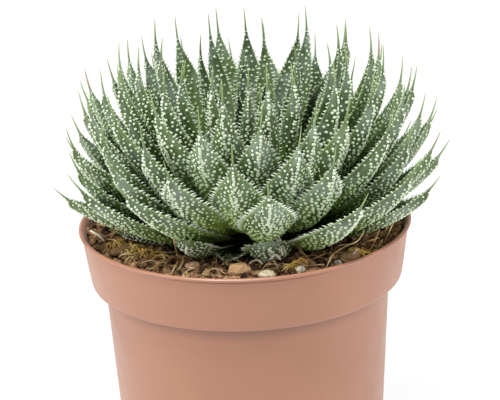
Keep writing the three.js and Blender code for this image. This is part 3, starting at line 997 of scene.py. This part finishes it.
def plan_old_leaf(number):
    """The same for an old leaf, low on the stem and lying on the mix."""
    azimuth, sideways, reach, tip_height = OLD_LEAVES[number]
    return SimpleNamespace(
        index=200 + number,
        azimuth=math.radians(azimuth),
        swing=math.radians(sideways),
        root=np.array((STEM_RADIUS + LEAF_CLEARANCE, OLD_LEAF_ROOT)),
        tip=np.array((reach, tip_height)),
        width=OLD_LEAF_WIDTH,
        taper=LEAF_TAPER,
        thickness=OLD_LEAF_THICKNESS,
        root_thickness=0.7,
        sag=0.02,
        youth=0.0,
        tooth_reach=1.0,
    )


def half_width(plan, along):
    """Half the width of a leaf along it: a blade drawn out to a fine point, which ends in an awn."""
    flare = between(0.38, 1, smooth(along / WIDEST_AT))
    beyond = clamp01((along - WIDEST_AT) / (AWN_FROM - WIDEST_AT))
    point = (1 - beyond) ** plan.taper * (1 + beyond)
    blade = 0.5 * plan.width * np.where(along < WIDEST_AT, flare, point)
    awn_share = clamp01((along - AWN_FROM) / (1 - AWN_FROM))
    awn = between(AWN_HALF_WIDTH, AWN_TIP_HALF_WIDTH, awn_share)
    return np.sqrt(blade**2 + awn**2)


def on_leaf(plan, along, sideways, up):
    """Points on a leaf in metres: along it, sideways from its midline and up from its bowl."""
    t = clamp01(along)[..., None]
    chord = plan.tip - plan.root
    bow = np.array((chord[1], -chord[0])) * plan.sag
    control = plan.root + chord * BOW_AT + bow
    point = plan.root * (1 - t) ** 2 + control * 2 * t * (1 - t) + plan.tip * t * t
    slope = (control - plan.root) * (1 - t) + (plan.tip - control) * t
    slope = slope / np.linalg.norm(slope, axis=-1, keepdims=True)
    radius = point[..., 0] - slope[..., 1] * up
    height = point[..., 1] + slope[..., 0] * up
    angle = plan.azimuth + plan.swing * along * along + sideways / np.maximum(point[..., 0], 7)
    x = radius * np.cos(angle) + ROSETTE_OFFSET
    return np.stack((x, radius * np.sin(angle), height), axis=-1) * MM


def skin_height(plan, along, across, underside):
    """Height of the skin over the leaf's bowl: hollow above, keeled below, at across -1 to 1."""
    half_here = half_width(plan, along)
    swell = between(plan.root_thickness, plan.thickness, smooth(along / 0.4))
    thick = np.maximum(0.6, swell * clamp01(1.12 - along) ** 0.5 * 1.2)
    thick = np.minimum(thick, 1.3 * half_here)
    lift = (MARGIN_LIFT + 0.7 * plan.youth) * smooth(along / 0.25) * (2 * half_here / plan.width)
    edge = lift * across**2
    keel_sharpness = between(2.3, 1.2, smooth((along - 0.25) / 0.45))
    belly = 1 - np.abs(across) ** keel_sharpness
    return edge + np.where(underside > 0.5, -1.3 * thick * belly, -0.1 * thick * belly)


def leaf_skin(plan, rows):
    """Points and faces of one closed leaf, and what its material reads of each point."""
    turns = np.linspace(0, math.pi, SKIN_COLUMNS + 1)
    top = [(-math.cos(turn), 0.0) for turn in turns]
    under = [(math.cos(turn), 1.0) for turn in turns[1:-1]]
    section = np.array(top + under)
    around = len(section)
    blade_rows = int(rows * 0.8)
    steps = np.concatenate(
        (
            np.linspace(0, AWN_FROM, blade_rows, endpoint=False),
            np.linspace(AWN_FROM, 1, rows - blade_rows),
        )
    )
    along = np.repeat(steps, around)
    across = np.tile(section[:, 0], rows)
    underside = np.tile(section[:, 1], rows)
    up = skin_height(plan, along, across, underside)
    points = on_leaf(plan, along, across * half_width(plan, along), up)
    faces = []
    for row in range(rows - 1):
        for k in range(around):
            j = (k + 1) % around
            low, high = row * around, (row + 1) * around
            faces.append((low + k, high + k, high + j, low + j))
    faces.append(tuple(range(around)))
    faces.append(tuple(reversed(range((rows - 1) * around, rows * around))))
    return points, faces, {"along": along, "across": across, "underside": underside}


def leaf_studs(plan, draw):
    """Rows of tubercles across the underside and the top, sparse at the root, and a dotted keel."""
    length = np.linalg.norm(plan.tip - plan.root) * 1.1
    gap = STUD_GAP * between(1, 0.92, plan.youth)
    found = []
    sides = ((1.0, UNDER_STUDS_FROM, gap, 1.0), (0.0, UPPER_STUDS_FROM, gap * 1.2, 0.8))
    for side, start, row_gap, share in sides:
        rows = int((STUDS_TO - start) * length / row_gap)
        for row in range(rows):
            along = start + (row + 0.5) * row_gap / length
            half_here = float(half_width(plan, along))
            count = max(1, round(2 * half_here * STUDDED_SHARE / (gap * 1.05) * share))
            missing = between(0.45, 0.05, float(smooth((along - 0.16) / 0.36)))
            for k in range(count):
                step = (k + 0.5 + 0.26 * draw.uniform(-1, 1)) / count
                across = (2 * step - 1) * STUDDED_SHARE
                if row % 2:
                    across += STUDDED_SHARE / count
                if abs(across) > STUDDED_SHARE + 0.01 or draw.random() < missing:
                    continue
                size = draw.uniform(0.66, 1.18) * between(1.12, 0.82, min(1.0, abs(across)))
                size *= 1 if side else 1.12
                size *= between(1.0, 0.78, float(smooth((along - 0.66) / 0.22)))
                size *= between(0.6, 1.0, float(smooth((along - 0.2) / 0.28)))
                place = along + draw.uniform(-0.24, 0.24) * row_gap / length
                found.append((place, across, side, size * between(1, 0.88, plan.youth)))
    keel_count = int((STUDS_TO - KEEL_STUDS_FROM) * length / KEEL_STUD_GAP)
    for k in range(keel_count):
        along = between(KEEL_STUDS_FROM, STUDS_TO, (k + draw.random() * 0.6) / keel_count)
        size = draw.uniform(0.7, 1.05) * between(1, 0.7, plan.youth)
        found.append((along, draw.uniform(-0.06, 0.06), 1.0, size))
    return np.array(found)


def leaf_teeth(plan, draw):
    """Teeth along both edges: place along the leaf, which edge, its lean and how long."""
    length = np.linalg.norm(plan.tip - plan.root) * 1.12
    gap = TOOTH_GAP * between(1, 0.95, plan.youth)
    count = int((TEETH_TO - TEETH_FROM) * length / gap)
    found = []
    for edge in (-1.0, 1.0):
        for k in range(count):
            along = TEETH_FROM + (k + 0.5 + draw.uniform(-0.25, 0.25)) * gap / length
            long = draw.uniform(0.65, 1.15) * between(0.4, 1, float(smooth((along - 0.12) / 0.28)))
            long *= between(1, 0.4, float(smooth((along - 0.68) / 0.18)))
            long *= plan.tooth_reach * between(1, 0.8, plan.youth)
            found.append((along, edge, draw.uniform(0.1, 0.7), long))
    return np.array(found)


def unit(vectors):
    return vectors / np.linalg.norm(vectors, axis=1, keepdims=True)


def stud_seeds(plan, draw):
    """The studs' points on the skin, the way that each faces, and what is read of each point."""
    along, across, side, size = leaf_studs(plan, draw).T
    half_here = half_width(plan, along)
    half_ahead = half_width(plan, along + NUDGE)
    here = on_leaf(plan, along, across * half_here, skin_height(plan, along, across, side))
    ahead_up = skin_height(plan, along + NUDGE, across, side)
    ahead_point = on_leaf(plan, along + NUDGE, across * half_ahead, ahead_up)
    aside_up = skin_height(plan, along, across + NUDGE, side)
    aside_point = on_leaf(plan, along, (across + NUDGE) * half_here, aside_up)
    outward = np.where(side > 0.5, 1, -1)[:, None]
    facing = unit(np.cross(ahead_point - here, aside_point - here)) * outward
    facts = {"along": along, "across": across, "underside": side}
    return here, facing, {**facts, "kind": STUD, "breadth": size, "reach": size}


def tooth_seeds(plan, draw):
    """The same for the teeth, which point away from the leaf and a little to its tip."""
    along, edge, forward, long = leaf_teeth(plan, draw).T
    half_here = half_width(plan, along)
    up = skin_height(plan, along, edge, 0.0)
    here = on_leaf(plan, along, edge * (half_here - TOOTH_SINK), up)
    aside = unit(on_leaf(plan, along, edge * (half_here + 1), up + 0.25) - here)
    to_tip = unit(on_leaf(plan, along + NUDGE, edge * (half_here - TOOTH_SINK), up) - here)
    facing = unit(aside + to_tip * forward[:, None])
    facts = {"along": along, "across": edge}
    return here, facing, {**facts, "kind": TOOTH, "breadth": 1.0, "reach": long}


def leaf_mesh(name, plans, rows):
    """One mesh of the skins of these leaves, with a loose point for each stud and each tooth."""
    points, facings, faces = [], [], []
    columns = {fact: [] for fact in LEAF_FACTS}
    count = 0
    for plan in plans:
        draw = random.Random(plan.index)
        tone = scatter(plan.index, 5)
        skin, skin_faces, skin_facts = leaf_skin(plan, rows)
        faces.extend(tuple(corner + count for corner in face) for face in skin_faces)
        bare_skin = (skin, np.zeros_like(skin), skin_facts)
        for places, facing, facts in (bare_skin, stud_seeds(plan, draw), tooth_seeds(plan, draw)):
            points.append(places)
            facings.append(facing)
            for fact, column in columns.items():
                value = tone if fact == "tone" else facts.get(fact, 0.0)
                column.append(np.broadcast_to(value, (len(places),)))
            count += len(places)
    mesh = bpy.data.meshes.new(name)
    mesh.from_pydata(np.concatenate(points).tolist(), [], faces)
    for fact, column in columns.items():
        attribute = mesh.attributes.new(fact, "FLOAT", "POINT")
        attribute.data.foreach_set("value", np.concatenate(column).astype(np.float32))
    attribute = mesh.attributes.new("facing", "FLOAT_VECTOR", "POINT")
    attribute.data.foreach_set("vector", np.concatenate(facings).astype(np.float32).ravel())
    mesh.shade_smooth()
    return mesh


leaf_tree, entry, leave = new_tree(
    "studs_and_teeth",
    {
        "Stud Width": ("NodeSocketFloat", STUD_WIDTH * MM),
        "Stud Flatness": ("NodeSocketFloat", STUD_FLATNESS),
        "Tooth Width": ("NodeSocketFloat", TOOTH_WIDTH * MM),
        "Tooth Length": ("NodeSocketFloat", TOOTH_LENGTH * MM),
        "Skin": ("NodeSocketMaterial", None),
        "Pearl": ("NodeSocketMaterial", None),
    },
)


def grown_on_seeds(tree, entry, kind, shape, wide, high):
    """The shape on every loose point of this kind, upright on the skin."""
    soft = place_node(tree, "GeometryNodeSetShadeSmooth", {"Geometry": shape.outputs["Mesh"]})
    size = place_node(tree, "ShaderNodeCombineXYZ", {"X": wide, "Y": wide, "Z": high})
    facing = {"Vector": named(tree, "facing", "FLOAT_VECTOR")}
    upright = place_node(tree, "FunctionNodeAlignRotationToVector", facing, axis="Z")
    wanted = {0: named(tree, "kind"), 1: kind, "Epsilon": 0.25}
    chosen = place_node(tree, "FunctionNodeCompare", wanted, operation="EQUAL")
    copies = place_node(
        tree,
        "GeometryNodeInstanceOnPoints",
        {
            "Points": entry.outputs["Geometry"],
            "Selection": chosen.outputs["Result"],
            "Instance": soft.outputs["Geometry"],
            "Rotation": upright.outputs["Rotation"],
            "Scale": size.outputs["Vector"],
        },
    )
    return copies.outputs["Instances"]


stud = place_node(leaf_tree, "GeometryNodeMeshIcoSphere", {"Radius": 0.5, "Subdivisions": 1})
stud_wide = times(leaf_tree, named(leaf_tree, "breadth"), entry.outputs["Stud Width"])
stud_high = times(leaf_tree, stud_wide, entry.outputs["Stud Flatness"])
studs = grown_on_seeds(leaf_tree, entry, STUD, stud, stud_wide, stud_high)
tooth = place_node(
    leaf_tree,
    "GeometryNodeMeshCone",
    {"Vertices": 5, "Side Segments": 1, "Radius Top": 0.0, "Radius Bottom": 0.5, "Depth": 1.0},
)
tooth_wide = times(leaf_tree, named(leaf_tree, "breadth"), entry.outputs["Tooth Width"])
tooth_long = times(leaf_tree, named(leaf_tree, "reach"), entry.outputs["Tooth Length"])
teeth = grown_on_seeds(leaf_tree, entry, TOOTH, tooth, tooth_wide, tooth_long)
any_seed = {0: named(leaf_tree, "kind"), 1: STUD / 2}
seeded = place_node(leaf_tree, "FunctionNodeCompare", any_seed, operation="GREATER_THAN")
not_skin = seeded.outputs["Result"]
skins = place_node(
    leaf_tree,
    "GeometryNodeDeleteGeometry",
    {"Geometry": entry.outputs["Geometry"], "Selection": not_skin},
    domain="POINT",
)
whole = realized(leaf_tree, join_parts(leaf_tree, studs, teeth, skins.outputs["Geometry"]))
whole = painted(leaf_tree, whole, entry.outputs["Skin"])
whole = painted(leaf_tree, whole, entry.outputs["Pearl"], not_skin)
leaf_tree.links.new(whole, leave.inputs["Geometry"])


def attribute_value(nodes, name):
    return place_node(nodes, "ShaderNodeAttribute", attribute_name=name).outputs["Fac"]


def leaf_streaks(nodes, across_scale, along_scale):
    """Noise drawn out along the leaf, from its own across and along coordinates."""
    scales = {"X": ("across", across_scale), "Y": ("along", along_scale), "Z": ("tone", 37.0)}
    axes = {}
    for axis, (fact, scale) in scales.items():
        axes[axis] = times(nodes, attribute_value(nodes, fact), scale)
    place = place_node(nodes, "ShaderNodeCombineXYZ", axes)
    wants = {"Vector": place.outputs["Vector"], "Scale": 1.0, "Detail": 3.0}
    return place_node(nodes, "ShaderNodeTexNoise", wants).outputs["Fac"]


def leaf_material(name, root_color, blade_color, tip_color):
    """Leaf skin: bright at the root with patches of painted light, dark up the blade in streaks, a pale
    rim of painted light where light shines through the margins, painted shade on the upper face, a waxy
    grey bloom and a dry pale awn."""
    material, nodes, shader = new_material(name, blade_color, 0.45)
    along = attribute_value(nodes, "along")
    tone = attribute_value(nodes, "tone")
    half_way = tuple(between(root, blade, 0.5) for root, blade in zip(root_color, blade_color))
    stops = [(0.22, root_color), (0.42, half_way), (0.6, blade_color), (0.84, tip_color)]
    color = ramp(nodes, along, stops)
    streak = ramp_share(nodes, leaf_streaks(nodes, 6.0, 5.0), 0.4, 0.58)
    color = mixed(nodes, times(nodes, streak, 0.7), color, shade(blade_color, 0.36))
    # Painted light: patches of brighter yellow-green, strongest near the root
    lit = ramp_share(nodes, leaf_streaks(nodes, 3.0, 4.0), 0.5, 0.7)
    lit = times(nodes, lit, ramp_share(nodes, along, 0.2, 0.7, 0.55, 0.1))
    color = mixed(nodes, lit, color, shade(root_color, 1.25))
    # Painted shade: the upper face is darkened towards a deep green
    upper = ramp_share(nodes, attribute_value(nodes, "underside"), 0.0, 1.0, 0.75, 0.0)
    color = mixed(nodes, upper, color, SHADED_UPPER_FACE_COLOR)
    bloom = ramp_share(nodes, object_noise(nodes, 110, 2), 0.42, 0.66)
    bloom = times(nodes, bloom, ramp_share(nodes, along, 0.4, 0.75, 0.0, 0.6))
    color = mixed(nodes, bloom, color, BLOOM_COLOR)
    color = mixed(nodes, ramp_share(nodes, tone, 0.2, 1.0, 0.0, 0.2), color, shade(root_color, 0.8))
    # Painted light: a bright rim along the margins, for the light that shines through them
    across = {0: attribute_value(nodes, "across")}
    from_midline = place_node(nodes, "ShaderNodeMath", across, operation="ABSOLUTE").outputs[0]
    color = mixed(nodes, ramp_share(nodes, from_midline, 0.88, 0.98, 0.0, 0.75), color, RIM_GLOW_COLOR)
    awn_color = mixed(nodes, ramp_share(nodes, tone, 0.93, 0.95), AWN_COLOR, WITHERED_AWN_COLOR)
    awn = ramp_share(nodes, along, AWN_FROM - 0.03, AWN_FROM + 0.07)
    nodes.links.new(mixed(nodes, awn, color, awn_color), shader.inputs["Base Color"])
    rough = ramp_share(nodes, object_noise(nodes, 300, 3), 0.3, 0.7, 0.34, 0.5)
    nodes.links.new(rough, shader.inputs["Roughness"])
    shader.inputs["Subsurface Weight"].default_value = 0.12
    shader.inputs["Subsurface Radius"].default_value = (0.5, 1.0, 0.3)
    shader.inputs["Subsurface Scale"].default_value = 0.0012
    add_bump(nodes, shader, object_noise(nodes, 1500, 3), 0.25, 0.0003)
    return material


grown_skin = leaf_material("grown_leaf_skin", *GROWN_LEAF_COLORS)
young_skin = leaf_material("young_leaf_skin", *YOUNG_LEAF_COLORS)
old_skin = leaf_material("old_leaf_skin", *OLD_LEAF_COLORS)

# Studs are as green as the leaf near its root and pearly further up, duller on the upper face
pearl, pearl_nodes, pearl_shader = new_material("pearl_tubercle", TOOTH_COLOR, 0.4)
pearl_color = ramp(pearl_nodes, attribute_value(pearl_nodes, "along"), PEARL_STOPS)
upper = ramp_share(pearl_nodes, attribute_value(pearl_nodes, "underside"), 0.3, 0.7, 0.5, 0.0)
pearl_color = mixed(pearl_nodes, upper, pearl_color, DULL_PEARL_COLOR)
is_tooth = ramp_share(pearl_nodes, attribute_value(pearl_nodes, "kind"), 1.4, 1.6, 0.0, 0.5)
pearl_color = mixed(pearl_nodes, is_tooth, pearl_color, TOOTH_COLOR)
pearl_nodes.links.new(pearl_color, pearl_shader.inputs["Base Color"])
pearl_shader.inputs["Subsurface Weight"].default_value = 0.2
pearl_shader.inputs["Subsurface Radius"].default_value = (0.8, 1.0, 0.6)
pearl_shader.inputs["Subsurface Scale"].default_value = 0.0005


def add_leaves(name, plans, rows, skin, node):
    leaves = add_object(name, leaf_mesh(name, plans, rows))
    give_tree(leaves, leaf_tree, {"Skin": skin, "Pearl": pearl})
    finished(leaves)
    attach(leaves, "root")
    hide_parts(node)


for index in range(OUTER_LEAF_COUNT):
    if index not in PICKED_LEAVES:
        node = f"leaf_{index + 1:02d}"
        add_leaves(f"grown_{node}", [plan_leaf(index)], GROWN_LEAF_ROWS, grown_skin, node)
for number in OLD_LEAVES:
    node = f"old_leaf_{number}"
    add_leaves(f"withered_{node}", [plan_old_leaf(number)], OLD_LEAF_ROWS, old_skin, node)

# name: the index of the first leaf and of the one after the last, rows of faces in each
YOUNG_GROUPS = {
    "half_grown_leaves": (OUTER_LEAF_COUNT, 64, YOUNG_LEAF_ROWS),
    "young_leaves": (64, 88, YOUNG_LEAF_ROWS),
    "heart_leaves": (88, LEAF_COUNT, HEART_LEAF_ROWS),
}
for name, (first, end, rows) in YOUNG_GROUPS.items():
    plans = [plan_leaf(index) for index in range(first, end)]
    add_leaves(name, plans, rows, young_skin, "rosette_heart")

# ---- Stem
# The short woody stem that all leaves clasp. Its foot is sunk in the mix, and the leaves hide the
# rest of it.

STEM_SEGMENTS = 48
STEM_COLOR = (0.10, 0.13, 0.05)
STEM_STOPS = [(0.35, (0.06, 0.05, 0.025)), (0.65, (0.14, 0.17, 0.06))]

stem_profile = [
    (0, STEM_BOTTOM),
    (STEM_RADIUS, STEM_BOTTOM, 0.5),
    (STEM_RADIUS, ROOT_LOW + 3, 0.5),
    (STEM_TOP_RADIUS, ROOT_HIGH, 0.5),
    (0, ROOT_HIGH + 2),
]
stem_body = lathe(rounded(stem_profile, ROUNDING), STEM_SEGMENTS)
bmesh.ops.recalc_face_normals(stem_body, faces=stem_body.faces)
bmesh.ops.translate(stem_body, verts=stem_body.verts, vec=(ROSETTE_OFFSET * MM, 0, 0))
stem_mesh = bpy.data.meshes.new("woody_stem")
stem_body.to_mesh(stem_mesh)
stem_body.free()
stem_mesh.shade_smooth()
stem_wood, stem_nodes, stem_shader = new_material("stem_wood", STEM_COLOR, 0.8)
stem_color = ramp(stem_nodes, object_noise(stem_nodes, 300, 4), STEM_STOPS)
stem_nodes.links.new(stem_color, stem_shader.inputs["Base Color"])
add_bump(stem_nodes, stem_shader, object_noise(stem_nodes, 900, 4), 0.6, 0.0005)
stem_mesh.materials.append(stem_wood)
stem = add_object("woody_stem", stem_mesh)
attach(stem, "root")
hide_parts("rosette_heart")
